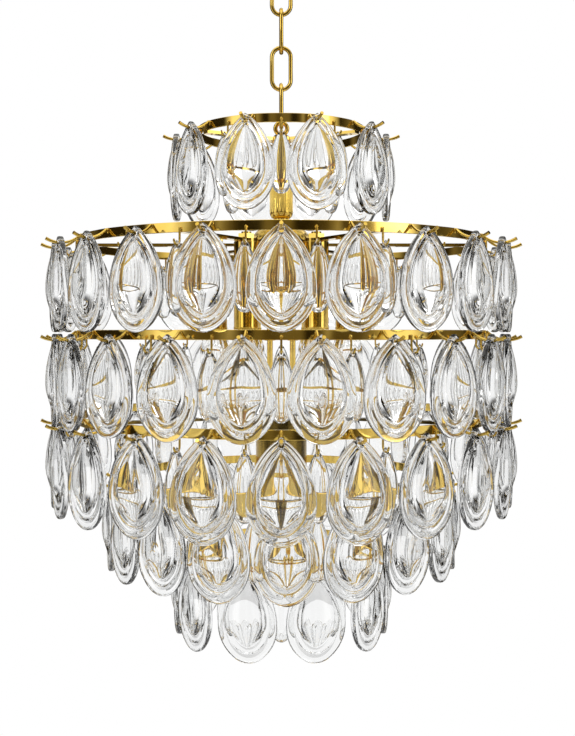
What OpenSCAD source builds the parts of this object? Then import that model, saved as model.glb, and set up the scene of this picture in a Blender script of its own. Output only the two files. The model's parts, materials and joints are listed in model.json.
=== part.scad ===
// Six-tier chandelier: brass rings carry two sizes of pressed glass drops on wire hooks.
// A four-link chain holds the frame under a ceiling eye. The front is at minus Y and
// angles count from the front towards plus X. The origin is where the ceiling meets the eye.

/* [Ceiling eye] */
// Diameter of the shank that goes up through the ceiling bracket
shank_d = 6; // [5:0.5:8]
// Length of the shank above the ceiling face
shank_len = 25; // [15:1:40]
// Diameter of the collar that bears on the ceiling
collar_d = 22; // [18:1:30]
// Thickness of the collar
collar_t = 3; // [2:0.5:5]
// Opening of the eye
eye_bore = 13; // [11:0.5:18]
// Thickness of the eye's wire
eye_wire = 5.5; // [4.5:0.5:7]

/* [Chain] */
// Outer length of a link
link_len = 49; // [42:1:60]
// Outer width of a link
link_w = 24.4; // [20:0.2:30]
// Thickness of a link's wire
link_wire = 4.5; // [3:0.1:5]
// Gap left where one link bears on the next
link_gap = 0.3; // [0.2:0.05:0.5]
// Opening of the loop on top of the frame
loop_bore = 8; // [7:0.5:12]
// Thickness of the loop's wire
loop_wire = 4.5; // [3:0.1:5]
// Diameter of the way for the supply wires beside the loop
wireway_d = 2.6; // [2:0.2:3]

/* [Column] */
// Diameter of the turned column
column_d = 25; // [20:1:32]
// Diameter of the tube inside the column
tube_d = 10; // [8:0.5:12]
// Bore of that tube, where the supply wires run
tube_bore = 7.2; // [6:0.2:8]
// Diameter of the dome over the lamp hub
dome_d = 62; // [58:1:76]
// Height of the dome
dome_h = 24; // [20:1:32]
// Wall of the dome and of the lower drum
shell_t = 1.6; // [1:0.1:3]
// Diameter of the lower drum
drum_d = 54; // [50:1:64]
// Length of the finial
finial_len = 30; // [20:1:45]
// Diameter of the finial
finial_d = 20; // [14:1:28]

/* [Rings] */
// Radius of the top ring, at the middle of its strip
top_r = 88; // [80:1:110]
// Radius of rings 2, 3 and 4
wide_r = 212; // [205:1:240]
// Radius of ring 5
fifth_r = 155; // [150:1:170]
// Radius of the lowest ring
low_r = 84; // [80:1:100]
// Height of a ring's strip
strip_h = 9; // [7:0.5:12]
// Thickness of a ring's strip
strip_t = 2; // [1.5:0.1:3]
// Height from ring 1 down to ring 2
step_1_2 = 117.5; // [112:0.5:130]
// Height from ring 2 down to ring 3
step_2_3 = 94.5; // [92:0.5:110]
// Height from ring 3 down to ring 4
step_3_4 = 86; // [84:0.5:100]
// Height from ring 4 down to ring 5
step_4_5 = 64; // [60:0.5:80]
// Height from ring 5 down to ring 6
step_5_6 = 74; // [70:0.5:90]
// Width of a spoke
spoke_w = 10; // [8:0.5:12]
// Thickness of a spoke and of the hub plates
spoke_t = 3; // [2:0.5:4]
// Diameter of the four tie rods
rod_d = 6; // [5:0.5:7]
// Radius of the circle that the tie rods stand on
rod_circle_r = 17; // [16:0.5:18]

/* [Hooks] */
// Thickness of the wire of a long hook
hook_wire = 2.6; // [2:0.1:3]
// Distance from the ring's face to where a large drop hangs
hook_hang = 22; // [20:0.5:26]
// Distance from the ring's face to the hook's free tip
hook_reach = 36; // [32:0.5:42]
// Radius of the hook's sweep
hook_sweep = 28; // [26:0.5:34]
// Depth of the hook's lowest point under the middle of the strip
hook_low = 5.5; // [4:0.5:8]
// Thickness of the wire of a short hook
pin_wire = 2; // [1.6:0.1:2.4]
// Length of the straight part of a short hook
pin_len = 11; // [9:0.5:14]
// Radius of the curl under a short hook
curl_r = 5; // [4.8:0.1:6]

/* [Large drops] */
// Height of a large drop
big_h = 93; // [80:1:94]
// Width of a large drop
big_w = 60; // [50:1:61]
// Thickness of a large drop
big_t = 20; // [14:1:22]
// Height of the widest point above the bottom
big_belly = 36; // [34:1:40]
// Radius of the round bottom
big_round = 23; // [20:1:25]
// Diameter of the hole for the hook
big_hole = 4.8; // [4.6:0.1:6]
// Distance from the hole to the top point
big_hole_in = 7; // [6.5:0.5:9]

/* [Small drops] */
// Height of a small drop
small_h = 64; // [50:1:66]
// Width of a small drop
small_w = 24; // [18:1:26]
// Thickness of a small drop
small_t = 13; // [9:1:14]
// Height of the widest point above the bottom
small_belly = 25; // [22:1:30]
// Radius of the round bottom
small_round = 8; // [6:0.5:9]
// Diameter of the hole for the hook
small_hole = 3.4; // [3.2:0.1:4]
// Distance from the hole to the top point
small_hole_in = 5; // [4.5:0.5:7]

/* [Lamps] */
// Radius of the circle that the six lamps hang on
lamp_circle_r = 70; // [62:1:90]
// Diameter of a lamp sleeve
sleeve_d = 25; // [23:0.5:30]
// Length of a lamp sleeve
sleeve_len = 88; // [70:1:92]
// Wall of a lamp sleeve
sleeve_t = 1.2; // [0.8:0.1:1.5]
// Diameter of the threaded pipe that carries a lamp
pipe_d = 10; // [8:0.5:10]
// Length of a lamp socket
socket_len = 40; // [36:1:44]
// Diameter of a bulb's cap
cap_d = 14; // [12:0.5:15]
// Length of a bulb's cap
cap_len = 25; // [20:1:28]
// Diameter of a bulb
bulb_d = 33; // [28:1:35]
// Length of a bulb's glass
bulb_len = 62; // [50:1:68]

/* [Clearances] */
// Gap between a hook's wire and the top of the hole that hangs on it
hang_gap = 0.3; // [0.2:0.05:0.5]
// Gap round a rod, tube or pipe in the plate that it passes through
rod_gap = 0.2; // [0.1:0.05:0.4]
// Gap between a socket and its sleeve, and between a bulb's cap and its socket
socket_gap = 0.3; // [0.2:0.05:0.5]
// Gap at the solder between a wire and its strip
solder_gap = 0.1; // [0.05:0.05:0.2]

/* [Hidden] */
$fn = 64;
BRASS = [0.83, 0.65, 0.26];
GLASS = [0.86, 0.92, 0.95, 0.5];
WHITE = [0.92, 0.92, 0.9];
TIERS = [1:6];
LINKS = [1:4];
LOW_DROPS = [1:10];

// Drops on each ring, and how far each ring is turned, in steps between its drops
drop_count = [10, 22, 22, 22, 18, len([for (i = LOW_DROPS) i])];
stagger = [0.5, 0, 0.5, 0, 0.075, 0.5];
ring_radius = [top_r, wide_r, wide_r, wide_r, fifth_r, low_r];

// Heights down the chain
fuse = 1.5;
eye_r = (eye_bore + eye_wire) / 2;
eye_z = fuse - collar_t - eye_r - eye_wire / 2;
link_bend_r = (link_w - link_wire) / 2;
link_half = (link_len - link_wire) / 2;
link_pitch = link_len - 2 * link_wire - link_gap;
first_link_z = eye_z - eye_r + (eye_wire + link_wire) / 2 + link_gap - link_half;
loop_r = (loop_bore + loop_wire) / 2;
last_link_z = first_link_z - 3 * link_pitch;
loop_z = last_link_z - link_half + (link_wire + loop_wire) / 2 + link_gap - loop_r;
flange_t = 3.5;
flange_r = 8;
seat_z = loop_z - loop_r - loop_wire / 2 + fuse - flange_t;
stud_len = 18;
stud_r = tube_bore / 2 - rod_gap;

// Heights of the rings' mid planes
steps = [0, step_1_2, step_2_3, step_3_4, step_4_5, step_5_6];
function total(v, n) = n < 0 ? 0 : v[n] + total(v, n - 1);
ring_z = [for (i = [0:5]) seat_z + strip_h / 2 - total(steps, i)];

// Hub plates: radius, spokes and the angle of the first spoke for each ring
plate_r = [14, dome_d / 2 + 2, 26, drum_d / 2 + 4, drum_d / 2 + 4, 26];
spokes = [3, 6, 3, 3, 3, 3];
spoke_turn = [60, 30, 60, 60, 60, 60];
plate_hole_r = [tube_d / 2 + rod_gap, tube_d / 2 + rod_gap, 9, 9, 9, rod_d / 2 + rod_gap];

// Column and hub
column_top = seat_z - spoke_t;
dome_base = ring_z[1] + spoke_t / 2;
dome_top = dome_base + dome_h;
nut_t = 5;
nut_r = 5.6;
tube_nut_r = 9;
thread_past = 2;
hub_under = ring_z[1] - spoke_t / 2;

// Lamps
lamp_nut_r = 9;
boss_r = 12;
sleeve_end = hub_under - sleeve_len;
socket_in = 2;
socket_low = sleeve_end + socket_in;
socket_r = sleeve_d / 2 - sleeve_t - socket_gap;
cap_floor = socket_low + cap_len;

// Hooks
hook_from = acos((hook_hang - hook_wire / 2 - solder_gap) / hook_sweep);
hook_to = acos((hook_reach - hook_hang) / hook_sweep);
pin_off = pin_wire / 2 + solder_gap;

function face_r(i) = ring_radius[i - 1] + strip_t / 2;
function step_deg(i) = 360 / drop_count[i - 1];
function big_turn(i, k) = (k + stagger[i - 1]) * step_deg(i);
function small_turn(i, k) = big_turn(i, k + 0.5);
function big_place(i) = [0, -face_r(i) - hook_hang, ring_z[i - 1] - hook_low];
function small_place(i) = [0, -face_r(i) - pin_off - curl_r, ring_z[i - 1] - pin_len - curl_r];

// Half outline of a drop about its belly: a long arc up to the point, a shorter
// arc below the belly, and a round bottom that the shorter arc runs into.
function half_outline(h, w, belly, round_r, up, low, base) = let(
    half = w / 2,
    rise = h - belly,
    up_r = (rise * rise + half * half) / (2 * half),
    fall = belly - round_r,
    side_r = (half * half + fall * fall - round_r * round_r) / (2 * (half - round_r)),
    point = asin(rise / up_r),
    turn = atan2(fall, side_r - half)
) concat(
    [for (i = [up:-1:1]) up_r * [cos(point * i / up), sin(point * i / up)] + [half - up_r, 0]],
    [for (i = [0:low]) side_r * [cos(turn * i / low), -sin(turn * i / low)] + [half - side_r, 0]],
    [for (i = [1:base - 1]) let(a = turn + (90 - turn) * i / base)
        [round_r * cos(a), -fall - round_r * sin(a)]]
);
function mirrored(p, belly) = concat(p, [[0, -belly]], [for (i = [len(p) - 1:-1:1]) [-p[i][0], p[i][1]]]);

// Section of a lens: two equal arcs, t thick in the middle and edge thick at reach
function lens_section(reach, t, edge, n) = let(
    sag = (t - edge) / 2,
    r = (reach * reach + sag * sag) / (2 * sag),
    open = asin(reach / r),
    arc = [for (i = [-n:n]) [r * sin(open * i / n), t / 2 - r + r * cos(open * i / n)]]
) concat(arc, [for (i = [len(arc) - 1:-1:0]) [arc[i][0], -arc[i][1]]]);

// A cut drop: its outline, swelling both up and down and across, about its belly
module cut_drop(h, w, t, belly, round_r, rim, fine) {
    outline = mirrored(half_outline(h, w, belly, round_r, 3 * fine, 2 * fine, 3), belly);
    lift = (h - 2 * belly) / 3;
    intersection() {
        rotate([90, 0, 0]) linear_extrude(2 * t, center = true) polygon(outline);
        translate([0, 0, lift]) rotate([90, 90, 90]) linear_extrude(2 * w, center = true)
            polygon(lens_section(h - belly - lift, 1.1 * t, rim, fine + 1));
        linear_extrude(3 * h, center = true) polygon(lens_section(w / 2 + 1, t, rim, fine + 1));
    }
}

// A hole along Y that opens towards both faces, so that a bent wire clears its edges
module flared_hole(d, deep, flare) {
    throat = 2;
    mouth_r = d / 2 + flare * (deep - throat) / 2;
    rotate([90, 0, 0]) cylinder(h = 2 * throat, d = d, center = true);
    for (s = [0, 180]) rotate([90, 0, s]) translate([0, 0, throat / 2])
        cylinder(h = (deep - throat) / 2, r1 = d / 2, r2 = mouth_r);
}

// Large drop about the point where the middle of its wire passes
module large_drop() {
    hole_z = hook_wire / 2 + hang_gap - big_hole / 2;
    color(GLASS) difference() {
        translate([0, 0, hole_z + big_hole_in - big_h + big_belly])
            cut_drop(big_h, big_w, big_t, big_belly, big_round, 5, 2);
        translate([0, 0, hole_z]) flared_hole(big_hole, big_t, 0.45);
    }
}

// Small drop about the point where the middle of its wire passes
module small_drop() {
    hole_z = pin_wire / 2 + hang_gap - small_hole / 2;
    color(GLASS) difference() {
        translate([0, 0, hole_z + small_hole_in - small_h + small_belly])
            cut_drop(small_h, small_w, small_t, small_belly, small_round, 3, 1);
        translate([0, 0, hole_z]) flared_hole(small_hole, small_t, 0.6);
    }
}

module large_drops(i) {
    for (k = [0:drop_count[i - 1] - 1]) rotate([0, 0, big_turn(i, k)]) translate(big_place(i)) large_drop();
}

module low_drop(k) {
    rotate([0, 0, big_turn(6, k - 1)]) translate(big_place(6)) large_drop();
}

module small_drops(i) {
    for (k = [0:drop_count[i - 1] - 1]) rotate([0, 0, small_turn(i, k)]) translate(small_place(i)) small_drop();
}

// Wire bent round the X axis, from one angle to another, with the outside at plus angle 0
module bent_wire(bend_r, wire, from, sweep) {
    rotate([90, 0, -90]) rotate([0, 0, from]) rotate_extrude(angle = sweep)
        translate([bend_r, 0]) circle(d = wire, $fn = 24);
}

module long_hook(i) {
    translate(big_place(i)) translate([0, 0, hook_sweep])
        bent_wire(hook_sweep, hook_wire, 180 + hook_from, 180 - hook_from - hook_to);
}

module short_hook(i) {
    translate([0, -face_r(i) - pin_off, ring_z[i - 1] - pin_len]) {
        cylinder(h = pin_len, d = pin_wire, $fn = 24);
        translate([0, -curl_r, 0]) bent_wire(curl_r, pin_wire, 180, 180);
    }
}

module hooks(i) {
    color(BRASS) for (k = [0:drop_count[i - 1] - 1]) {
        rotate([0, 0, big_turn(i, k)]) long_hook(i);
        rotate([0, 0, small_turn(i, k)]) short_hook(i);
    }
}

module ring(i) {
    color(BRASS) translate([0, 0, ring_z[i - 1] - strip_h / 2]) difference() {
        cylinder(h = strip_h, r = face_r(i), $fn = 128);
        translate([0, 0, -1]) cylinder(h = strip_h + 2, r = face_r(i) - strip_t, $fn = 128);
    }
}

module rod_places() {
    for (a = [45:90:315]) rotate([0, 0, a]) translate([0, -rod_circle_r, 0]) children();
}

module lamp_places() {
    for (k = [0:spokes[1] - 1]) rotate([0, 0, spoke_turn[1] + k * 360 / spokes[1]])
        translate([0, -lamp_circle_r, 0]) children();
}

// Hub plate and spokes. The top ring lies on its spokes, the others stand round theirs.
module spider(i) {
    inner_r = face_r(i) - strip_t;
    spoke_len = i == 1 ? face_r(i) : sqrt(inner_r * inner_r - spoke_w * spoke_w / 4);
    base_z = i == 1 ? seat_z - spoke_t : ring_z[i - 1] - spoke_t / 2;
    color(BRASS) translate([0, 0, base_z]) difference() {
        union() {
            cylinder(h = spoke_t, r = plate_r[i - 1]);
            for (k = [0:spokes[i - 1] - 1]) rotate([0, 0, spoke_turn[i - 1] + k * 360 / spokes[i - 1]])
                translate([-spoke_w / 2, -spoke_len, 0]) cube([spoke_w, spoke_len, spoke_t]);
            if (i == 2) lamp_places() cylinder(h = spoke_t, r = boss_r);
        }
        translate([0, 0, -1]) cylinder(h = spoke_t + 2, r = plate_hole_r[i - 1]);
        if (i > 1) rod_places() translate([0, 0, -1]) cylinder(h = spoke_t + 2, d = rod_d + 2 * rod_gap);
        if (i == 2) lamp_places() translate([0, 0, -1]) cylinder(h = spoke_t + 2, d = pipe_d + 2 * rod_gap);
    }
}

module ceiling_eye() {
    color(BRASS) {
        cylinder(h = shank_len, d = shank_d);
        translate([0, 0, -collar_t]) cylinder(h = collar_t, d = collar_d);
        translate([0, 0, eye_z]) rotate([90, 0, 90]) rotate_extrude() translate([eye_r, 0]) circle(d = eye_wire, $fn = 32);
    }
}

// Odd links face the front and even links stand edge on
module chain_link(i) {
    straight = link_half - link_bend_r;
    color(BRASS) translate([0, 0, first_link_z - (i - 1) * link_pitch]) rotate([0, 0, i % 2 == 1 ? 0 : 90])
        for (s = [0, 180]) rotate([0, s, 0]) {
            translate([0, 0, straight]) rotate([90, 0, 0]) rotate_extrude(angle = 180)
                translate([link_bend_r, 0]) circle(d = link_wire, $fn = 32);
            translate([link_bend_r, 0, -straight]) cylinder(h = 2 * straight, d = link_wire, $fn = 32);
        }
}

// The way for the supply wires runs beside the loop, through the flange and down the stud
module hanging_eye() {
    color(BRASS) difference() {
        union() {
            translate([0, 0, loop_z]) rotate([90, 0, 0]) rotate_extrude() translate([loop_r, 0])
                circle(d = loop_wire, $fn = 32);
            translate([0, 0, seat_z]) cylinder(h = flange_t, r = flange_r);
            translate([0, 0, seat_z - stud_len]) cylinder(h = stud_len + 1, r = stud_r);
        }
        translate([0, stud_r - wireway_d / 4, seat_z - stud_len - 1])
            cylinder(h = stud_len + flange_t + loop_wire, d = wireway_d);
    }
}

module central_tube() {
    low = hub_under - nut_t - thread_past;
    color(BRASS) translate([0, 0, low]) difference() {
        cylinder(h = seat_z - rod_gap - low, d = tube_d);
        translate([0, 0, -1]) cylinder(h = seat_z - low + 2, d = tube_bore);
    }
}

module column() {
    bore_r = tube_d / 2 + rod_gap;
    r = column_d / 2;
    foot_r = 8;
    lip = 2;
    shoulder = 16;
    slope_end = 9;
    collar = 6;
    round_r = r - foot_r + 1;
    low = dome_top + lip;
    color(BRASS) rotate_extrude() polygon(concat(
        [[bore_r, dome_top], [foot_r, dome_top], [foot_r, low]],
        [for (a = [0:15:90]) [foot_r - 1 + round_r * sin(a), low + round_r * 1.4 * (1 - cos(a))]],
        [[r, column_top - shoulder], [r - 3, column_top - slope_end], [foot_r - 0.5, column_top - collar]],
        [[foot_r + 1.5, column_top - collar + 2], [foot_r + 1.5, column_top], [bore_r, column_top]]
    ));
}

module hub_dome() {
    r = dome_d / 2;
    neck_r = 9;
    bore_r = tube_d / 2 + rod_gap;
    outer = [for (a = [0:15:90]) [neck_r + (r - neck_r) * cos(a), (dome_h - 3) * sin(a)]];
    inner = [for (a = [90:-15:0]) [neck_r + (r - shell_t - neck_r) * cos(a), (dome_h - 3 - shell_t) * sin(a)]];
    color(BRASS) translate([0, 0, dome_base]) rotate_extrude() polygon(concat(
        outer, [[neck_r, dome_h], [bore_r, dome_h], [bore_r, dome_h - 3 - shell_t]], inner
    ));
}

module terminal_block() {
    size = [10, 8, 10];
    near = 9;
    wire_d = 2;
    color(WHITE) translate([0, near, dome_base]) difference() {
        translate([-size[0] / 2, 0, 0]) cube(size);
        for (x = [-2, 2]) translate([x, -1, size[2] / 2]) rotate([-90, 0, 0])
            cylinder(h = size[1] + 2, d = wire_d, $fn = 24);
    }
}

module hex_nut(across_r, bore_d, t) {
    difference() {
        cylinder(h = t, r = across_r, $fn = 6);
        translate([0, 0, -1]) cylinder(h = t + 2, d = bore_d);
    }
}

module tube_nut() {
    color(BRASS) translate([0, 0, hub_under - nut_t]) hex_nut(tube_nut_r, tube_d + 2 * rod_gap, nut_t);
}

module tie_rods() {
    low = ring_z[5] - spoke_t / 2 - nut_t - thread_past;
    high = dome_base + nut_t + thread_past;
    color(BRASS) rod_places() translate([0, 0, low]) cylinder(h = high - low, d = rod_d);
}

module rod_nuts() {
    color(BRASS) rod_places() {
        translate([0, 0, dome_base]) hex_nut(nut_r, rod_d + 2 * rod_gap, nut_t);
        for (i = [2:5]) translate([0, 0, ring_z[i] - spoke_t / 2 - nut_t]) hex_nut(nut_r, rod_d + 2 * rod_gap, nut_t);
    }
}

module lower_drum() {
    high = ring_z[3] - spoke_t / 2;
    low = ring_z[4] + spoke_t / 2;
    r = drum_d / 2;
    color(BRASS) rotate_extrude() polygon([
        [r - shell_t, low], [r + 3, low], [r + 3, low + 3], [r, low + 5],
        [r, high], [r - shell_t, high]
    ]);
}

module finial() {
    high = ring_z[5] - spoke_t / 2;
    r = finial_d / 2;
    ball = [for (a = [60:-15:-90]) [r * cos(a), high - finial_len + r + r * sin(a)]];
    color(BRASS) {
        rotate_extrude() polygon(concat([[0, high], [r, high], [r, high - 3], [r / 2, high - 6]], ball));
        translate([0, 0, high - 1]) cylinder(h = spoke_t + 8, d = rod_d);
    }
}

module lamp_sleeves() {
    color(BRASS) lamp_places() translate([0, 0, sleeve_end]) difference() {
        cylinder(h = sleeve_len, d = sleeve_d);
        translate([0, 0, -1]) cylinder(h = sleeve_len - 1, d = sleeve_d - 2 * sleeve_t);
        cylinder(h = sleeve_len + 1, d = pipe_d + 2 * rod_gap);
    }
}

module lamp_pipes() {
    low = socket_low + socket_len;
    high = dome_base + nut_t + thread_past;
    color(BRASS) lamp_places() translate([0, 0, low]) difference() {
        cylinder(h = high - low, d = pipe_d);
        translate([0, 0, -1]) cylinder(h = high - low + 2, d = pipe_d - 2.4);
    }
}

module lamp_nuts() {
    color(BRASS) lamp_places() translate([0, 0, dome_base]) hex_nut(lamp_nut_r, pipe_d + 2 * rod_gap, nut_t);
}

module lamp_sockets() {
    color(WHITE) lamp_places() translate([0, 0, socket_low]) difference() {
        cylinder(h = socket_len, r = socket_r);
        translate([0, 0, -1]) cylinder(h = cap_len + 1, d = cap_d + 2 * socket_gap);
        cylinder(h = socket_len + 1, r = 2);
    }
}

module bulb_caps() {
    color("silver") lamp_places() translate([0, 0, socket_low]) cylinder(h = cap_len, d = cap_d);
}

module bulbs() {
    r = bulb_d / 2;
    neck_r = cap_d / 2;
    belly = bulb_len * 0.45;
    color(GLASS) lamp_places() translate([0, 0, socket_low]) rotate_extrude() polygon(concat(
        [[0, 0], [neck_r, 0]],
        [for (t = [0.2:0.2:1]) [neck_r + (r - neck_r) * sin(90 * t), -belly * t]],
        [for (t = [0.2:0.2:0.8]) [r * cos(90 * t), -belly - (bulb_len - belly) * sin(90 * t)]],
        [[0, -bulb_len]]
    ));
}

ceiling_eye();
for (i = LINKS) chain_link(i);
hanging_eye();
central_tube();
column();
hub_dome();
terminal_block();
tube_nut();
tie_rods();
rod_nuts();
lower_drum();
finial();
lamp_sleeves();
lamp_pipes();
lamp_nuts();
lamp_sockets();
bulb_caps();
bulbs();
for (i = TIERS) ring(i);
for (i = TIERS) spider(i);
for (i = TIERS) hooks(i);
for (i = [1:5]) large_drops(i);
for (k = LOW_DROPS) low_drop(k);
for (i = TIERS) small_drops(i);
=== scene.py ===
"""Looks for the six-tier glass drop chandelier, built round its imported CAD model.

Metres throughout. The front is at minus Y, and angles count from the front towards plus X.
"""
import json
import math
import random

import bpy
import numpy as np
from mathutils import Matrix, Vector


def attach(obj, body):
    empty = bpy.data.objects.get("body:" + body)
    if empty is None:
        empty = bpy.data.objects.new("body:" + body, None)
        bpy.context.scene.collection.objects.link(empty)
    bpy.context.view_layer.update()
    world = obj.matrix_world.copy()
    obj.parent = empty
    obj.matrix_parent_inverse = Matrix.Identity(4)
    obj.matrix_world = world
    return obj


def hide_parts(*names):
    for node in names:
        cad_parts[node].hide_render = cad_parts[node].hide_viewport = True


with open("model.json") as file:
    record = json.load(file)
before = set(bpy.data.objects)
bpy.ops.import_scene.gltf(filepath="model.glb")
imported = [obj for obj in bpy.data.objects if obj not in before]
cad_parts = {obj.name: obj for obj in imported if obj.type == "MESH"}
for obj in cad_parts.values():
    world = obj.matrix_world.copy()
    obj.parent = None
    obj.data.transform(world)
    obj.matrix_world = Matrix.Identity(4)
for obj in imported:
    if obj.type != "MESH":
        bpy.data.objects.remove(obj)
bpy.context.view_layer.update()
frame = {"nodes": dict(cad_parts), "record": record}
nodes = frame["nodes"]

MM = 0.001
rng = random.Random(7)

# Sizes repeated from the CAD source, in millimetres
RING_Z = [-188.5, -306.0, -400.5, -486.5, -550.5, -624.5]
RING_R = [88, 212, 212, 212, 155, 84]
COUNT = [10, 22, 22, 22, 18, 10]
STAGGER = [0.5, 0, 0.5, 0, 0.075, 0.5]
STRIP_H, STRIP_T = 9.0, 2.0
HOOK_WIRE, HOOK_HANG, HOOK_REACH, HOOK_SWEEP, HOOK_LOW = 2.6, 22.0, 36.0, 28.0, 5.5
PIN_WIRE, PIN_LEN, CURL_R = 2.0, 11.0, 5.0
BIG_H, BIG_W, BIG_T, BIG_BELLY, BIG_ROUND = 93.0, 60.0, 20.0, 36.0, 23.0
BIG_HOLE, BIG_HOLE_IN = 4.8, 7.0
SMALL_H, SMALL_W, SMALL_T, SMALL_BELLY, SMALL_ROUND = 64.0, 24.0, 13.0, 25.0, 8.0
SMALL_HOLE, SMALL_HOLE_IN = 3.4, 5.0
HANG_GAP, SOLDER_GAP = 0.3, 0.1
LINK_Z = [-39.7, -79.4, -119.1, -158.8]
LINK_LEN, LINK_W, LINK_WIRE = 49.0, 24.4, 4.5
EYE_Z, EYE_R, EYE_WIRE = -13.5, 9.25, 5.5
COLLAR_R, COLLAR_T, SHANK_R, SHANK_LEN = 11.0, 3.0, 3.0, 25.0
LOOP_Z, LOOP_R, LOOP_WIRE = -182.5, 6.25, 4.5
SEAT_Z, FLANGE_R, FLANGE_T = -193.0, 8.0, 3.5
COLUMN_R, COLUMN_TOP, DOME_TOP, DOME_BASE = 12.5, -196.0, -280.5, -304.5
LAMP_COUNT, LAMP_TURN, LAMP_R = 6, 30.0, 70.0
SLEEVE_R, SLEEVE_T, SLEEVE_TOP, SLEEVE_LEN = 12.5, 1.2, -307.5, 88.0
SOCKET_LOW, CAP_R, BULB_R, BULB_LEN = -393.5, 7.0, 16.5, 62.0


# Camera: level, at the height of the horizon that the photograph's rings open from
HORIZON_Z = -0.398
CAMERA_Y = -1.115
PHOTO_H = 736.0
FOCAL_PX = 1052.0


def add_camera():
    data = bpy.data.cameras.new("camera")
    data.sensor_fit = "VERTICAL"
    data.sensor_height = 36.0
    data.lens = 36.0 * FOCAL_PX / PHOTO_H
    data.shift_x = 6.2 / PHOTO_H
    data.shift_y = -36.0 / PHOTO_H
    data.clip_end = 50.0
    cam = bpy.data.objects.new("camera", data)
    cam.location = (0.0, CAMERA_Y, HORIZON_Z)
    cam.rotation_euler = (math.radians(90), 0.0, 0.0)
    bpy.context.scene.collection.objects.link(cam)
    bpy.context.scene.camera = cam


# Node helpers
def new_material(name):
    mat = bpy.data.materials.new(name)
    mat.use_nodes = True
    tree = mat.node_tree
    bsdf = tree.nodes["Principled BSDF"]
    return mat, tree, bsdf


def noise(tree, scale, detail=2.0, stretch=None):
    coord = tree.nodes.new("ShaderNodeTexCoord")
    node = tree.nodes.new("ShaderNodeTexNoise")
    node.inputs["Scale"].default_value = scale
    node.inputs["Detail"].default_value = detail
    source = coord.outputs["Object"]
    if stretch:
        mapping = tree.nodes.new("ShaderNodeMapping")
        mapping.inputs["Scale"].default_value = stretch
        tree.links.new(source, mapping.inputs["Vector"])
        source = mapping.outputs["Vector"]
    tree.links.new(source, node.inputs["Vector"])
    return node.outputs["Fac"]


def ramp(tree, source, stops):
    node = tree.nodes.new("ShaderNodeValToRGB")
    elements = node.color_ramp.elements
    while len(elements) < len(stops):
        elements.new(0.5)
    for element, (at, colour) in zip(elements, stops):
        element.position = at
        element.color = (*colour, 1.0) if len(colour) == 3 else colour
    tree.links.new(source, node.inputs["Fac"])
    return node.outputs["Color"]


def spread(tree, source, low, high):
    node = tree.nodes.new("ShaderNodeMapRange")
    node.inputs["To Min"].default_value = low
    node.inputs["To Max"].default_value = high
    tree.links.new(source, node.inputs["Value"])
    return node.outputs["Result"]


def add_bump(tree, bsdf, source, strength, distance):
    node = tree.nodes.new("ShaderNodeBump")
    node.inputs["Strength"].default_value = strength
    node.inputs["Distance"].default_value = distance
    tree.links.new(source, node.inputs["Height"])
    tree.links.new(node.outputs["Normal"], bsdf.inputs["Normal"])


def brass_material(name, light, dark, rough=(0.05, 0.12), ripple=0.12, streak=None):
    mat, tree, bsdf = new_material(name)
    bsdf.inputs["Metallic"].default_value = 1.0
    stops = [(0.42, dark), (0.58, light)] if streak else [(0.3, dark), (0.65, light)]
    colour = ramp(tree, noise(tree, 38.0, 3.0, streak), stops)
    tree.links.new(colour, bsdf.inputs["Base Color"])
    tree.links.new(spread(tree, noise(tree, 160.0, 4.0), *rough), bsdf.inputs["Roughness"])
    add_bump(tree, bsdf, noise(tree, 55.0, 1.0), ripple, 0.0006)
    return mat


def glass_material(name, tint, ior, wave=0.12):
    mat, tree, bsdf = new_material(name)
    bsdf.inputs["Transmission Weight"].default_value = 1.0
    bsdf.inputs["IOR"].default_value = ior
    clearer = tuple(c + 0.025 for c in tint)
    colour = ramp(tree, noise(tree, 25.0, 1.0), [(0.3, tint), (0.7, clearer)])
    tree.links.new(colour, bsdf.inputs["Base Color"])
    tree.links.new(spread(tree, noise(tree, 90.0, 2.0), 0.0, 0.012), bsdf.inputs["Roughness"])
    add_bump(tree, bsdf, noise(tree, 70.0, 1.0), wave, 0.0005)
    return mat


def plastic_material(name, colour, rough):
    mat, tree, bsdf = new_material(name)
    shade = tuple(c * 0.93 for c in colour)
    mottled = ramp(tree, noise(tree, 60.0, 3.0), [(0.35, shade), (0.65, colour)])
    tree.links.new(mottled, bsdf.inputs["Base Color"])
    tree.links.new(spread(tree, noise(tree, 300.0, 2.0), rough, rough + 0.12), bsdf.inputs["Roughness"])
    add_bump(tree, bsdf, noise(tree, 900.0, 2.0), 0.1, 0.0002)
    return mat


BRASS = brass_material("polished_brass", (0.86, 0.62, 0.165), (0.76, 0.51, 0.1))
# Darker brass for the sleeves, dome and plates inside the frame: painted shade for the shade that falls
# there
SHADED_BRASS = brass_material("brass_painted_shade", (0.74, 0.51, 0.12), (0.56, 0.36, 0.06))
# Near-black streaked brass for the drum and lowest plates: painted shade for the dark deep inside the frame
DEEP_SHADED_BRASS = brass_material("drum_brass_painted_shade", (0.34, 0.23, 0.055), (0.06, 0.04, 0.01), streak=(1.6, 1.6, 0.15))
WIRE = brass_material("brass_wire", (0.82, 0.58, 0.14), (0.68, 0.44, 0.07), (0.07, 0.16), 0.15)
GLASS = glass_material("clear_glass", (0.958, 0.963, 0.964), 1.62)
BULB = glass_material("frosted_bulb", (0.97, 0.965, 0.95), 1.45)
PORCELAIN = plastic_material("white_porcelain", (0.86, 0.85, 0.81), 0.22)
NICKEL = brass_material("nickel_cap", (0.72, 0.71, 0.68), (0.60, 0.59, 0.56), (0.18, 0.3))


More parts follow.
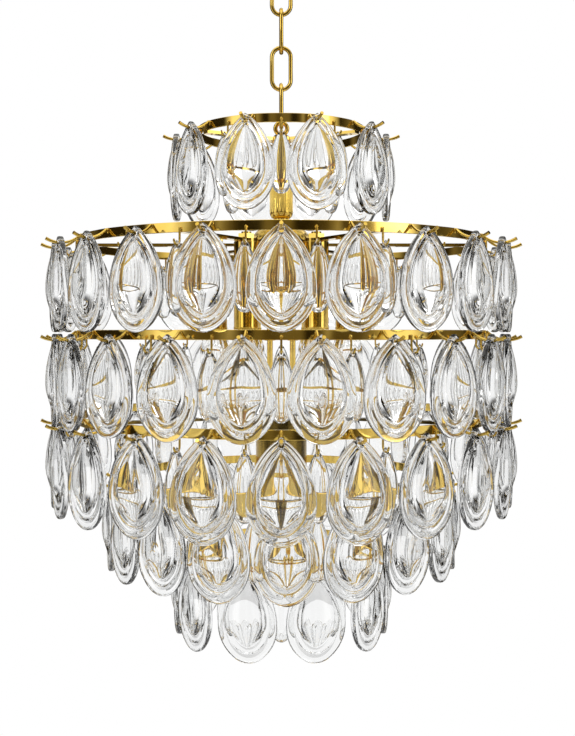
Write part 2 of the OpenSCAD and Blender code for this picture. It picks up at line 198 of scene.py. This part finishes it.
# Mesh helpers: a shape is (points, faces), in millimetres
def as_object(name, shape, material, body, stands_for, sharp=35.0):
    points, faces = shape
    mesh = bpy.data.meshes.new(name)
    mesh.from_pydata((np.asarray(points) * MM).tolist(), [], faces)
    mesh.validate()
    mesh.polygons.foreach_set("use_smooth", [True] * len(mesh.polygons))
    mesh.set_sharp_from_angle(angle=math.radians(sharp))
    mesh.materials.append(material)
    obj = bpy.data.objects.new(name, mesh)
    bpy.context.scene.collection.objects.link(obj)
    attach(obj, body)
    if stands_for:
        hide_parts(*stands_for)
    return obj


def join(shapes):
    points, faces, base = [], [], 0
    for p, f in shapes:
        points.append(np.asarray(p, float))
        faces += [[i + base for i in face] for face in f]
        base += len(p)
    return np.vstack(points), faces


def turned(shape, angle, centre_turn=0.0, at=(0.0, 0.0, 0.0), tilt=0.0):
    """The shape moved to at, after a turn about its own upright, then turned about the main axis."""
    p = np.asarray(shape[0], float)
    c, s = math.cos(centre_turn), math.sin(centre_turn)
    p = np.column_stack([c * p[:, 0] - s * p[:, 1], s * p[:, 0] + c * p[:, 1], p[:, 2]])
    c, s = math.cos(tilt), math.sin(tilt)
    p = np.column_stack([c * p[:, 0] - s * p[:, 2], p[:, 1], s * p[:, 0] + c * p[:, 2]])
    p = p + np.asarray(at, float)
    c, s = math.cos(angle), math.sin(angle)
    return np.column_stack([c * p[:, 0] - s * p[:, 1], s * p[:, 0] + c * p[:, 1], p[:, 2]]), shape[1]


def lathe(profile, sides=64, closed=False):
    """A turned shape about Z. profile runs along its outline; a point on the axis closes an end."""
    points, rings = [], []
    for r, z in profile:
        if r < 1e-6:
            rings.append([len(points)])
            points.append((0.0, 0.0, z))
        else:
            rings.append(list(range(len(points), len(points) + sides)))
            for k in range(sides):
                a = 2 * math.pi * k / sides
                points.append((r * math.cos(a), r * math.sin(a), z))
    faces = []
    pairs = list(zip(rings, rings[1:] + rings[:1])) if closed else list(zip(rings, rings[1:]))
    for low, high in pairs:
        for k in range(sides):
            n = (k + 1) % sides
            if len(low) == 1 and len(high) == 1:
                continue
            if len(low) == 1:
                faces.append([low[0], high[n], high[k]])
            elif len(high) == 1:
                faces.append([low[k], low[n], high[0]])
            else:
                faces.append([low[k], low[n], high[n], high[k]])
    return points, faces


def sweep(path, radii, sides=12, closed=False, side=(1.0, 0.0, 0.0)):
    """A round wire along a flat path whose plane has the normal side. Its ends are closed by caps."""
    path = [np.asarray(p, float) for p in path]
    side = np.asarray(side, float)
    n = len(path)
    points, faces = [], []
    for i, p in enumerate(path):
        before = path[i - 1] if (i > 0 or closed) else path[i]
        after = path[(i + 1) % n] if (i < n - 1 or closed) else path[i]
        along = after - before
        along = along / np.linalg.norm(along)
        up = np.cross(side, along)
        r = radii[i] if hasattr(radii, "__len__") else radii
        for k in range(sides):
            a = 2 * math.pi * k / sides
            points.append(p + r * (math.cos(a) * side + math.sin(a) * up))
    for i in range(n if closed else n - 1):
        j = (i + 1) % n
        for k in range(sides):
            m = (k + 1) % sides
            faces.append([i * sides + k, i * sides + m, j * sides + m, j * sides + k])
    if not closed:
        faces.append(list(range(sides))[::-1])
        faces.append([(n - 1) * sides + k for k in range(sides)])
    return points, faces


# Drop outline: a long arc up to the point, a shorter arc below the belly, a round bottom
def outline(h, w, belly, round_r, up, low, base):
    half, rise, fall = w / 2, h - belly, belly - round_r
    up_r = (rise ** 2 + half ** 2) / (2 * half)
    side_r = (half ** 2 + fall ** 2 - round_r ** 2) / (2 * (half - round_r))
    point, turn = math.asin(rise / up_r), math.atan2(fall, side_r - half)
    right = []
    for i in range(up, 0, -1):
        a = point * i / up
        right.append((up_r * math.cos(a) + half - up_r, up_r * math.sin(a)))
    for i in range(low + 1):
        a = turn * i / low
        right.append((side_r * math.cos(a) + half - side_r, -side_r * math.sin(a)))
    for i in range(1, base):
        a = turn + (math.pi / 2 - turn) * i / base
        right.append((round_r * math.cos(a), -fall - round_r * math.sin(a)))
    left = [(-x, z) for x, z in right[:0:-1]]
    right[0] = (0.0, right[0][1])
    return right + [(0.0, -belly)] + left


def shell_of_rings(rings, hub_front, hub_back):
    """A closed body from rings that run front hub, outwards, over the edge and in to the back hub."""
    n = len(rings[0])
    points = [hub_front]
    for ring in rings:
        points += ring
    points.append(hub_back)
    faces = [[0, 1 + (k + 1) % n, 1 + k] for k in range(n)]
    for i in range(len(rings) - 1):
        for k in range(n):
            m = (k + 1) % n
            a, b = 1 + i * n, 1 + (i + 1) * n
            faces.append([a + k, a + m, b + m, b + k])
    last, end = 1 + (len(rings) - 1) * n, len(points) - 1
    faces += [[last + k, last + (k + 1) % n, end] for k in range(n)]
    return points, faces


# Large drop: a rounded rim, two rounded bands, and on both faces a raised teardrop lens
# that is round across and slopes away below its middle
LENS_WIDE, LENS_TALL = 0.57, 0.70
# How far below the drop's tip the lens's outline shrinks towards, and its peak
LENS_HUB, LENS_PEAK = 38.0, 52.0
# Points on the upper arc, the side arc and the bottom of an outline
BIG_STEPS, SMALL_STEPS = (17, 10, 9), (12, 7, 6)
# Share of the way from the outline to the lens edge, and half thickness there
BORDER = [(0.0, 1.0), (0.015, 2.0), (0.06, 2.8), (0.16, 3.3), (0.3, 3.4), (0.43, 3.0), (0.49, 2.55)]
BORDER += [(0.53, 2.4), (0.57, 2.6), (0.65, 3.2), (0.75, 3.4), (0.84, 3.1), (0.9, 2.7)]
# Share of the way, and share of the height of the lens edge over the border
WALL = [(0.95, 0.4), (1.0, 1.0)]
LENS_STEPS = [0.95, 0.86, 0.75, 0.63, 0.5, 0.37, 0.25, 0.13]
# Half thickness at the peak, and how much of it is lost at the sides and at the upper point
PEAK_T, ROUND_T, UPPER_T = 10.0, 3.9, 6.3
# The bevel's start below the peak, its slope, and the length over which it sets in
BEVEL_FROM, BEVEL_SLOPE, BEVEL_SOFT = 4.0, 0.33, 6.0


def big_drop_shape():
    rim = outline(BIG_H, BIG_W, BIG_BELLY, BIG_ROUND, *BIG_STEPS)
    tip = BIG_H - BIG_BELLY
    hub_z = tip - LENS_HUB
    lens_z = tip - LENS_PEAK
    lens = [(LENS_WIDE * x, hub_z + LENS_TALL * (z - hub_z)) for x, z in rim]
    right = sorted((z, x) for x, z in lens[:len(lens) // 2 + 1])
    widest = max(x for _, x in right)
    flat = BORDER[-1][1]
    upper_len = lens[0][1] - lens_z

    def lens_t(x, z):
        """Half thickness in the lens: the fall across, up towards its point and down its bevel."""
        half = np.interp(z, [p[0] for p in right], [p[1] for p in right])
        across = min(1.0, abs(x) / max(half, 0.01))
        below = lens_z - BEVEL_FROM - z
        bevel = BEVEL_SLOPE * (below + math.hypot(below, BEVEL_SOFT)) / 2
        above = UPPER_T * (max(0.0, z - lens_z) / upper_len) ** 2
        return max(flat + 0.1, PEAK_T - ROUND_T * (half / widest) * across ** 2 - bevel - above)

    front = []
    for s in reversed(LENS_STEPS):
        ring = [(s * x, lens_z + s * (z - lens_z)) for x, z in lens]
        front.append([(x, lens_t(x, z), z) for x, z in ring])
    for s, share in reversed(WALL):
        edge = [(x + s * (lx - x), z + s * (lz - z), lens_t(lx, lz)) for (x, z), (lx, lz) in zip(rim, lens)]
        front.append([(x, flat + share * (t - flat), z) for x, z, t in edge])
    for s, t in reversed(BORDER):
        front.append([(x + s * (lx - x), t, z + s * (lz - z)) for (x, z), (lx, lz) in zip(rim, lens)])
    rings = [[(x, -t, z) for x, t, z in ring] for ring in front] + front[::-1]
    peak = lens_t(0.0, lens_z)
    return shell_of_rings(rings, (0.0, -peak, lens_z), (0.0, peak, lens_z))


# Small drop: a low crown on both faces, with a thin rim. CROWN gives the share of the half
# width and of the thickness from the rim to the middle
CROWN = [(-1.0, 0.0), (-0.93, 0.3), (-0.74, 0.72), (-0.52, 0.92), (-0.22, 0.99), (0.0, 1.0)]
SMALL_RIM, SMALL_LEAST = 1.1, 1.5
LOW_WEIGHT, FULLNESS = 0.72, 0.55


def small_drop_shape():
    half = outline(SMALL_H, SMALL_W, SMALL_BELLY, SMALL_ROUND, *SMALL_STEPS)
    n = len(half) // 2
    rows = half[1:n]
    tip, bottom = half[0][1], -SMALL_BELLY
    across = CROWN + [(-u, t) for u, t in CROWN[-2::-1]]
    points = [(0.0, 0.0, tip)]
    m = len(across)
    for x, z in rows:
        up = (z - bottom) / (tip - bottom)
        body = (SMALL_T / 2) * (math.sin(math.pi * min(1.0, max(0.0, up)) ** LOW_WEIGHT)) ** FULLNESS
        body = max(body, SMALL_LEAST)
        front = [(u * x, -(SMALL_RIM + (body - SMALL_RIM) * t), z) for u, t in across]
        back = [(u * x, SMALL_RIM + (body - SMALL_RIM) * t, z) for u, t in reversed(across)]
        points += front + back
    points.append((0.0, 0.0, bottom))
    faces = [[0, 1 + (k + 1) % (2 * m), 1 + k] for k in range(2 * m)]
    for i in range(len(rows) - 1):
        a, b = 1 + i * 2 * m, 1 + (i + 1) * 2 * m
        for k in range(2 * m):
            j = (k + 1) % (2 * m)
            faces.append([a + k, a + j, b + j, b + k])
    last, end = 1 + (len(rows) - 1) * 2 * m, len(points) - 1
    faces += [[last + k, last + (k + 1) % (2 * m), end] for k in range(2 * m)]
    return points, faces


# A hole's straight throat, how it widens towards both faces, and its facets
THROAT, BIG_FLARE, SMALL_FLARE, HOLE_SIDES = 2.0, 0.45, 0.6, 20
# Small turns and leans of the hanging drops, in radians
BIG_TURN, BIG_LEAN, SMALL_TURN = 0.03, 0.008, 0.05
# Edges sharper than this many degrees stay crisp
BIG_CRISP, SMALL_CRISP = 28, 20


def plain_object(name, shape):
    mesh = bpy.data.meshes.new(name)
    mesh.from_pydata(np.asarray(shape[0]).tolist(), [], shape[1])
    obj = bpy.data.objects.new(name, mesh)
    bpy.context.scene.collection.objects.link(obj)
    return obj


def bored(shape, hole_z, hole_d, deep, flare):
    """The drop with its hole, moved so that its origin is where the wire passes."""
    body = plain_object("drop_body", (np.asarray(shape[0]), shape[1]))
    r, end = hole_d / 2, deep / 2
    mouth = r + flare * (deep - THROAT) / 2
    profile = [(0, -end), (mouth, -end), (r, -THROAT / 2), (r, THROAT / 2), (mouth, end), (0, end)]
    points, faces = lathe(profile, HOLE_SIDES)
    cut = plain_object("drop_hole", ([(x, z, hole_z - y) for x, y, z in points], faces))
    for obj in (body, cut):
        bpy.context.view_layer.objects.active = obj
        bpy.ops.object.select_all(action="DESELECT")
        obj.select_set(True)
        bpy.ops.object.mode_set(mode="EDIT")
        bpy.ops.mesh.select_all(action="SELECT")
        bpy.ops.mesh.normals_make_consistent(inside=False)
        bpy.ops.object.mode_set(mode="OBJECT")
    mod = body.modifiers.new("hole", "BOOLEAN")
    mod.operation = "DIFFERENCE"
    mod.solver = "EXACT"
    mod.object = cut
    bpy.context.view_layer.update()
    made = body.evaluated_get(bpy.context.evaluated_depsgraph_get()).to_mesh()
    result = ([tuple(v.co) for v in made.vertices], [list(p.vertices) for p in made.polygons])
    for obj in (body, cut):
        bpy.data.objects.remove(obj)
    return result


def hung(shape, wire, hole_d, hole_in, tip):
    """The drop moved so that the middle of its wire is the origin, and the height of its hole."""
    hole_z = wire / 2 + HANG_GAP - hole_d / 2
    drop = (np.asarray(shape[0], float) + np.array([0, 0, hole_z + hole_in - tip]), shape[1])
    return drop, hole_z


def make_drops():
    drop, hole_z = hung(big_drop_shape(), HOOK_WIRE, BIG_HOLE, BIG_HOLE_IN, BIG_H - BIG_BELLY)
    big = bored(drop, hole_z, BIG_HOLE, BIG_T, BIG_FLARE)
    drop, hole_z = hung(small_drop_shape(), PIN_WIRE, SMALL_HOLE, SMALL_HOLE_IN, SMALL_H - SMALL_BELLY)
    small = bored(drop, hole_z, SMALL_HOLE, SMALL_T, SMALL_FLARE)
    for i in range(6):
        step = 2 * math.pi / COUNT[i]
        face = RING_R[i] + STRIP_T / 2
        big_at = (0, -face - HOOK_HANG, RING_Z[i] - HOOK_LOW)
        small_at = (0, -face - PIN_WIRE / 2 - SOLDER_GAP - CURL_R, RING_Z[i] - PIN_LEN - CURL_R)
        large, little = [], []
        for k in range(COUNT[i]):
            a = (k + STAGGER[i]) * step
            turn, lean = rng.uniform(-BIG_TURN, BIG_TURN), rng.uniform(-BIG_LEAN, BIG_LEAN)
            large.append(turned(big, a, turn, big_at, lean))
            little.append(turned(small, a + step / 2, rng.uniform(-SMALL_TURN, SMALL_TURN), small_at, 0.0))
        if i < 5:
            name = f"glass_drops_large_{i + 1}"
            as_object(name, join(large), GLASS, "frame", [f"large_drops_{i + 1}"], BIG_CRISP)
        else:
            for k, shape in enumerate(large):
                name = f"glass_drop_low_{k + 1}"
                as_object(name, shape, GLASS, f"drop_{k + 1}", [f"low_drop_{k + 1}"], BIG_CRISP)
        name = f"glass_drops_small_{i + 1}"
        as_object(name, join(little), GLASS, "frame", [f"small_drops_{i + 1}"], SMALL_CRISP)


HOOK_STEPS, TIP_SWELL, SOLDER_END = 18, 0.3, 0.8
PIN_STEPS, PIN_END = 12, 0.7


def long_hook_shape():
    """One wire from the solder on the strip, down through the valley and up to its thicker tip."""
    centre = np.array([0.0, -HOOK_HANG, HOOK_SWEEP - HOOK_LOW])
    start = math.acos((HOOK_HANG - HOOK_WIRE / 2 - SOLDER_GAP) / HOOK_SWEEP)
    end = math.acos((HOOK_REACH - HOOK_HANG) / HOOK_SWEEP)
    path = []
    for i in range(HOOK_STEPS + 1):
        a = start + (math.pi - start - end) * i / HOOK_STEPS
        path.append(centre + HOOK_SWEEP * np.array([0.0, math.cos(a), -math.sin(a)]))
    past_valley = [max(0.0, 2.0 * i / HOOK_STEPS - 1) for i in range(HOOK_STEPS + 1)]
    radii = [HOOK_WIRE / 2 * (1 + TIP_SWELL * u ** 1.5) for u in past_valley]
    radii[0] *= SOLDER_END
    return sweep(path, radii, 12)


def short_hook_shape():
    y = -PIN_WIRE / 2 - SOLDER_GAP
    path = [np.array([0.0, y, -z]) for z in (0.0, 0.4, 2.0, 5.0, 8.0, 10.0)]
    for i in range(PIN_STEPS + 1):
        a = math.pi * i / PIN_STEPS
        path.append(np.array([0.0, y - CURL_R + CURL_R * math.cos(a), -PIN_LEN - CURL_R * math.sin(a)]))
    radii = [PIN_WIRE / 2] * len(path)
    radii[0] *= PIN_END
    radii[-1] *= PIN_END
    return sweep(path, radii, 10)


def blob(size):
    """A small bead of solder."""
    profile = [(0, -1), (0.5, -0.87), (0.87, -0.5), (1, 0), (0.87, 0.5), (0.5, 0.87), (0, 1)]
    points, faces = lathe(profile, 10)
    return np.asarray(points) * np.asarray(size, float), faces


# Strip: rounded edge, facets for each hook, wave between hooks and slow drift from true
STRIP_EDGE, RING_FACETS, STRIP_WAVE, STRIP_DRIFT = 0.35, 12, 0.28, 0.05
# Solder beads of the long and the short hooks: half sizes, and height over the strip's middle
HOOK_BEAD, HOOK_BEAD_Z, PIN_BEAD, PIN_BEAD_Z = (1.7, 1.0, 2.6), 1.9, (1.5, 0.8, 1.9), -1.6
BEAD_OUT = 0.3


def make_rings():
    hook, pin = long_hook_shape(), short_hook_shape()
    for i in range(6):
        z, r, n = RING_Z[i], RING_R[i], COUNT[i]
        step = 2 * math.pi / n
        sides = n * RING_FACETS
        h, t, edge = STRIP_H / 2, STRIP_T / 2, STRIP_EDGE
        section = [(-t, -h + edge), (-t, h - edge), (-t + edge, h), (t - edge, h)]
        section += [(t, h - edge), (t, -h + edge), (t - edge, -h), (-t + edge, -h)]
        points, faces, m = [], [], len(section)
        for k in range(sides):
            a = 2 * math.pi * k / sides + STAGGER[i] * step
            wave = STRIP_WAVE * math.cos(n * (a - STAGGER[i] * step)) + STRIP_DRIFT * math.sin(3 * a + i)
            for u, v in section:
                rr = r + u + wave
                points.append((rr * math.sin(a), -rr * math.cos(a), z + v))
        for k in range(sides):
            j = (k + 1) % sides
            for q in range(m):
                p = (q + 1) % m
                faces.append([k * m + q, k * m + p, j * m + p, j * m + q])
        as_object(f"ring_strip_{i + 1}", (points, faces), BRASS, "frame", [f"ring_{i + 1}"], 30)
        face = r + STRIP_T / 2
        wires = []
        for k in range(n):
            a = (k + STAGGER[i]) * step
            wires.append(turned(hook, a, 0.0, (0, -face, z)))
            wires.append(turned(pin, a + step / 2, 0.0, (0, -face, z)))
            wires.append(turned(blob(HOOK_BEAD), a, 0.0, (0, -face - BEAD_OUT, z + HOOK_BEAD_Z)))
            wires.append(turned(blob(PIN_BEAD), a + step / 2, 0.0, (0, -face - BEAD_OUT, z + PIN_BEAD_Z)))
        as_object(f"wire_hooks_{i + 1}", join(wires), WIRE, "frame", [f"hooks_{i + 1}"], 50)


def ring_angles():
    return np.linspace(0, 2 * math.pi, 49)[:-1]


def link_path(length, width, wire, points=14):
    bend = (width - wire) / 2
    straight = (length - wire) / 2 - bend
    path = []
    for s in (1, -1):
        for i in range(points + 1):
            a = math.pi * i / points
            path.append((s * bend * math.cos(a), s * (straight + bend * math.sin(a))))
    return path


THREADS, THREAD_DEEP = 14, 0.35


def make_chain():
    flat = link_path(LINK_LEN, LINK_W, LINK_WIRE)
    for i, z in enumerate(LINK_Z):
        if i % 2 == 0:
            path, side = [(x, 0.0, z + v) for x, v in flat], (0.0, 1.0, 0.0)
        else:
            path, side = [(0.0, x, z + v) for x, v in flat], (1.0, 0.0, 0.0)
        shape = sweep(path, LINK_WIRE / 2, 20, True, side)
        as_object(f"link_{i + 1}_wire", shape, BRASS, f"link_{i + 1}", [f"chain_link_{i + 1}"], 60)
    loop = [(0.0, EYE_R * math.cos(a), EYE_Z + EYE_R * math.sin(a)) for a in ring_angles()]
    collar = [(SHANK_R, 0), (COLLAR_R - 0.6, 0), (COLLAR_R, -0.6), (COLLAR_R, -COLLAR_T + 0.8)]
    collar += [(COLLAR_R - 1.2, -COLLAR_T), (0, -COLLAR_T)]
    shank = [(0, SHANK_LEN), (SHANK_R - 0.5, SHANK_LEN)]
    for k in range(THREADS):
        top = SHANK_LEN - 1.0 - k * (SHANK_LEN - 3.0) / THREADS
        shank += [(SHANK_R, top), (SHANK_R - THREAD_DEEP, top - 0.55), (SHANK_R, top - 1.1)]
    eye = join([sweep(loop, EYE_WIRE / 2, 20, True, (1.0, 0.0, 0.0)), lathe((shank + collar)[::-1], 48)])
    as_object("ceiling_eye_turned", eye, BRASS, "ceiling", ["ceiling_eye"])


# Bore that the tube and the lamp pipes pass, the column's foot, and the dome
BORE_R, FOOT_R = 5.2, 8.0
DOME_R, DOME_NECK, DOME_H, DOME_T = 31.0, 9.0, 24.0, 1.6
SLEEVE_LIP, SLEEVE_BEAD = 0.5, 0.35


def make_lathe_pieces():
    foot, r = FOOT_R, COLUMN_R
    low = DOME_TOP
    column = [(BORE_R, low), (foot - 0.4, low), (foot, low + 0.4), (foot, low + 2)]
    for a in range(0, 91, 9):
        s, c = math.sin(math.radians(a)), math.cos(math.radians(a))
        column.append((foot - 1 + (r - foot + 1) * s, low + 2 + (r - foot + 1) * 1.4 * (1 - c)))
    top = COLUMN_TOP
    column += [(r, top - 16.5), (r - 0.25, top - 15.4), (r - 3, top - 9), (foot - 0.5, top - 6.3)]
    column += [(foot - 0.3, top - 5.7), (foot + 1.3, top - 4.2), (foot + 1.5, top - 3.8)]
    column += [(foot + 1.5, top - 0.4), (foot + 1.1, top), (BORE_R, top)]
    as_object("column_turned", lathe(column, 96, True), BRASS, "frame", ["column"], 32)

    high = SEAT_Z + FLANGE_T
    flange = [(0, SEAT_Z), (FLANGE_R - 0.5, SEAT_Z), (FLANGE_R, SEAT_Z + 0.5), (FLANGE_R, high - 1)]
    flange += [(FLANGE_R - 1.2, high), (0, high)]
    loop = [(LOOP_R * math.cos(a), 0.0, LOOP_Z + LOOP_R * math.sin(a)) for a in ring_angles()]
    eye = join([lathe(flange, 48), sweep(loop, LOOP_WIRE / 2, 20, True, (0.0, 1.0, 0.0))])
    as_object("hanging_eye_turned", eye, BRASS, "frame", ["hanging_eye"])

    neck, wide, tall, t = DOME_NECK, DOME_R - DOME_NECK, DOME_H - 3, DOME_T
    quarter = np.linspace(0, math.pi / 2, 14)
    outer = [(neck + wide * math.cos(a), tall * math.sin(a)) for a in quarter]
    inner = [(neck + (wide - t) * math.cos(a), (tall - t) * math.sin(a)) for a in quarter[::-1]]
    dome = outer + [(neck, DOME_H), (BORE_R, DOME_H), (BORE_R, tall - t)] + inner
    dome = [(a, b + DOME_BASE) for a, b in dome]
    # The dome takes the darker brass, painted shade
    as_object("hub_dome_spun", lathe(dome, 96, True), SHADED_BRASS, "frame", ["hub_dome"], 32)

    r, lip, bead, end, high = SLEEVE_R, SLEEVE_LIP, SLEEVE_BEAD, SLEEVE_TOP - SLEEVE_LEN, SLEEVE_TOP
    sleeve = [(BORE_R, high), (r - lip, high), (r, high - lip), (r, end + 3)]
    sleeve += [(r + bead, end + 2.4), (r + bead, end + 0.6), (r, end), (r - SLEEVE_T, end)]
    sleeve += [(r - SLEEVE_T, high - 1), (BORE_R, high - 1)]
    one = lathe(sleeve, 48, True)
    sleeves, bulbs = [], []
    bulb = [(0, 0), (CAP_R - 0.2, 0)]
    belly = BULB_LEN * 0.45
    for t in np.linspace(0.08, 1, 12):
        bulb.append((CAP_R + (BULB_R - CAP_R) * math.sin(math.pi / 2 * t), -belly * t))
    for t in np.linspace(0.1, 0.95, 9):
        a = math.pi / 2 * t
        bulb.append((BULB_R * math.cos(a), -belly - (BULB_LEN - belly) * math.sin(a)))
    bulb.append((0, -BULB_LEN))
    for k in range(LAMP_COUNT):
        a = math.radians(LAMP_TURN + 360.0 * k / LAMP_COUNT)
        sleeves.append(turned(one, a, 0.0, (0, -LAMP_R, 0)))
        bulbs.append(turned(lathe(bulb, 32), a, 0.0, (0, -LAMP_R, SOCKET_LOW)))
    # The sleeves take the darker brass, painted shade
    as_object("lamp_sleeves_turned", join(sleeves), SHADED_BRASS, "frame", ["lamp_sleeves"], 32)
    as_object("bulbs_blown", join(bulbs), BULB, "frame", ["bulbs"], 50)


# Plates and the drum deep inside, in darker and near-black brass that paints the shade falling there
PAINTED_SHADE_LOOKS = {"lower_drum": DEEP_SHADED_BRASS, "spider_2": SHADED_BRASS, "spider_3": SHADED_BRASS, "spider_4": DEEP_SHADED_BRASS, "spider_5": DEEP_SHADED_BRASS}


def dress_cad():
    looks = {"brass": BRASS, "white_plastic": PORCELAIN, "nickel": NICKEL}
    looks.update({"drop_glass": GLASS, "bulb_glass": BULB})
    for part in frame["record"]["subparts"]:
        obj = nodes[part["node"]]
        if obj.hide_render:
            continue
        obj.data.materials.clear()
        look = looks[part["material_slot"]]
        obj.data.materials.append(PAINTED_SHADE_LOOKS.get(part["node"], look))


# Studio: white all round, darker above and below. Polished metal mirrors its warm dark
# walls, grey boards and bright panels, given here round the compass from the front
WARM, DARK, SHADE = (0.1, 0.08, 0.043), (0.022, 0.017, 0.009), (0.17, 0.145, 0.088)
BOARD, PANEL = (0.38, 0.35, 0.28), (1.35, 1.32, 1.24)
PANELS = [(0.0, WARM), (0.012, WARM), (0.02, SHADE), (0.032, SHADE), (0.04, DARK), (0.055, DARK)]
PANELS += [(0.065, WARM), (0.085, BOARD), (0.1, WARM), (0.14, SHADE), (0.16, PANEL), (0.195, PANEL)]
PANELS += [(0.22, DARK), (0.33, DARK), (0.36, SHADE), (0.4, DARK), (0.45, SHADE), (0.55, SHADE)]
PANELS += [(0.59, DARK), (0.67, DARK), (0.71, SHADE), (0.77, DARK), (0.8, PANEL), (0.835, PANEL)]
PANELS += [(0.86, BOARD), (0.89, WARM), (0.915, WARM), (0.925, BOARD), (0.94, WARM), (0.955, DARK)]
PANELS += [(0.97, DARK), (0.98, SHADE)]
LID = [(0.0, BOARD), (0.2, SHADE), (0.5, DARK), (0.8, SHADE), (0.93, PANEL)]
# How much of the room's front a mirrored ray meets behind glass, in place of plain white
MIRRORED = 0.35


def add_world():
    world = bpy.data.worlds.new("studio")
    bpy.context.scene.world = world
    world.use_nodes = True
    tree = world.node_tree
    tree.nodes.clear()
    link = tree.links.new

    def math_node(operation, a, b=None):
        node = tree.nodes.new("ShaderNodeMath")
        node.operation = operation
        for socket, value in zip(node.inputs, (a, b)):
            if value is None:
                continue
            if hasattr(value, "links"):
                link(value, socket)
            else:
                socket.default_value = value
        return node.outputs[0]

    coord = tree.nodes.new("ShaderNodeTexCoord")
    axes = tree.nodes.new("ShaderNodeSeparateXYZ")
    link(coord.outputs["Generated"], axes.inputs[0])
    x, y, z = axes.outputs
    path = tree.nodes.new("ShaderNodeLightPath")
    height = math_node("ABSOLUTE", z)

    def falloff(source, start, end, high, low):
        node = tree.nodes.new("ShaderNodeMapRange")
        node.interpolation_type = "SMOOTHSTEP"
        link(source, node.inputs["Value"])
        for name, value in (("From Min", start), ("From Max", end), ("To Min", high), ("To Max", low)):
            node.inputs[name].default_value = value
        return node.outputs["Result"]

    around = math_node("ARCTAN2", x, y)
    turn = math_node("ADD", math_node("DIVIDE", around, 2 * math.pi), 0.5)
    panels = ramp(tree, turn, PANELS)
    lid = ramp(tree, math_node("ADD", math_node("MULTIPLY", z, 0.5), 0.5), LID)
    share = falloff(height, 0.45, 0.7, 0.0, 1.0)

    def mixed_colour(factor, a, b):
        node = tree.nodes.new("ShaderNodeMix")
        node.data_type = "RGBA"
        link(factor, node.inputs[0])
        for socket, value in ((node.inputs[6], a), (node.inputs[7], b)):
            if hasattr(value, "links"):
                link(value, socket)
            else:
                socket.default_value = (value, value, value, 1.0)
        return node.outputs[2]

    through = falloff(height, 0.5, 0.85, 1.0, 0.12)
    room = mixed_colour(share, panels, lid)
    mirrored = math_node("MINIMUM", path.outputs["Glossy Depth"], 1.0)
    mirrored = math_node("MULTIPLY", mirrored, falloff(y, -0.6, -0.1, MIRRORED, 0.0))
    colour = mixed_colour(path.outputs["Is Glossy Ray"], 0.75, room)
    colour = mixed_colour(path.outputs["Is Transmission Ray"], colour, mixed_colour(mirrored, through, room))
    colour = mixed_colour(path.outputs["Is Camera Ray"], colour, 1.0)
    back = tree.nodes.new("ShaderNodeBackground")
    link(colour, back.inputs["Color"])
    out = tree.nodes.new("ShaderNodeOutputWorld")
    link(back.outputs[0], out.inputs["Surface"])


FLOOR_Z, FLOOR_R = -1.45, 1.5


def add_floor():
    """A round pale floor that takes the object's shadow and runs out into the white studio."""
    rings = [(0.0, 0.0)] + [(FLOOR_R * k / 8, 0.0) for k in range(1, 9)]
    points, faces = lathe(rings, 64)
    mesh = bpy.data.meshes.new("floor")
    mesh.from_pydata([(px, py, FLOOR_Z) for px, py, _ in points], [], faces)
    floor = bpy.data.objects.new("floor", mesh)
    bpy.context.scene.collection.objects.link(floor)
    mat, tree, bsdf = new_material("pale_floor")
    bsdf.inputs["Base Color"].default_value = (0.9, 0.9, 0.9, 1.0)
    bsdf.inputs["Roughness"].default_value = 0.8
    coord = tree.nodes.new("ShaderNodeTexCoord")
    length = tree.nodes.new("ShaderNodeVectorMath")
    length.operation = "LENGTH"
    flat = tree.nodes.new("ShaderNodeVectorMath")
    flat.operation = "MULTIPLY"
    flat.inputs[1].default_value = (1.0, 1.0, 0.0)
    tree.links.new(coord.outputs["Object"], flat.inputs[0])
    tree.links.new(flat.outputs[0], length.inputs[0])
    fade = tree.nodes.new("ShaderNodeMapRange")
    fade.interpolation_type = "SMOOTHSTEP"
    fade.inputs["From Min"].default_value = 0.25
    fade.inputs["From Max"].default_value = FLOOR_R * 0.98
    tree.links.new(length.outputs["Value"], fade.inputs["Value"])
    path = tree.nodes.new("ShaderNodeLightPath")
    seen = tree.nodes.new("ShaderNodeMath")
    seen.operation = "MULTIPLY"
    tree.links.new(path.outputs["Is Camera Ray"], seen.inputs[0])
    tree.links.new(fade.outputs["Result"], seen.inputs[1])
    glow = tree.nodes.new("ShaderNodeEmission")
    mix = tree.nodes.new("ShaderNodeMixShader")
    tree.links.new(seen.outputs[0], mix.inputs[0])
    tree.links.new(bsdf.outputs[0], mix.inputs[1])
    tree.links.new(glow.outputs[0], mix.inputs[2])
    tree.links.new(mix.outputs[0], tree.nodes["Material Output"].inputs["Surface"])
    mesh.materials.append(mat)


# Name, place, size and power in watts of each soft lamp, and the point that all of them face
LAMPS = [
    ("key", (-1.3, -1.5, 0.9), (0.7, 0.9), 5.0),
    ("fill", (1.6, -1.0, 0.3), (0.6, 1.0), 3.0),
    ("back", (0.5, 1.7, 0.6), (0.9, 0.6), 3.0)]
LAMP_AIM = (0.0, 0.0, -0.4)


def add_lamp(name, place, size, power):
    data = bpy.data.lights.new(name, "AREA")
    data.shape = "RECTANGLE"
    data.size, data.size_y = size
    data.energy = power
    lamp = bpy.data.objects.new(name, data)
    lamp.location = place
    aim = Vector(LAMP_AIM) - Vector(place)
    lamp.rotation_euler = aim.to_track_quat("-Z", "Y").to_euler()
    lamp.visible_camera = False
    bpy.context.scene.collection.objects.link(lamp)


add_camera()
bpy.context.scene.view_settings.view_transform = "Standard"
make_drops()
make_rings()
make_chain()
make_lathe_pieces()
dress_cad()
add_world()
add_floor()
for lamp in LAMPS:
    add_lamp(*lamp)
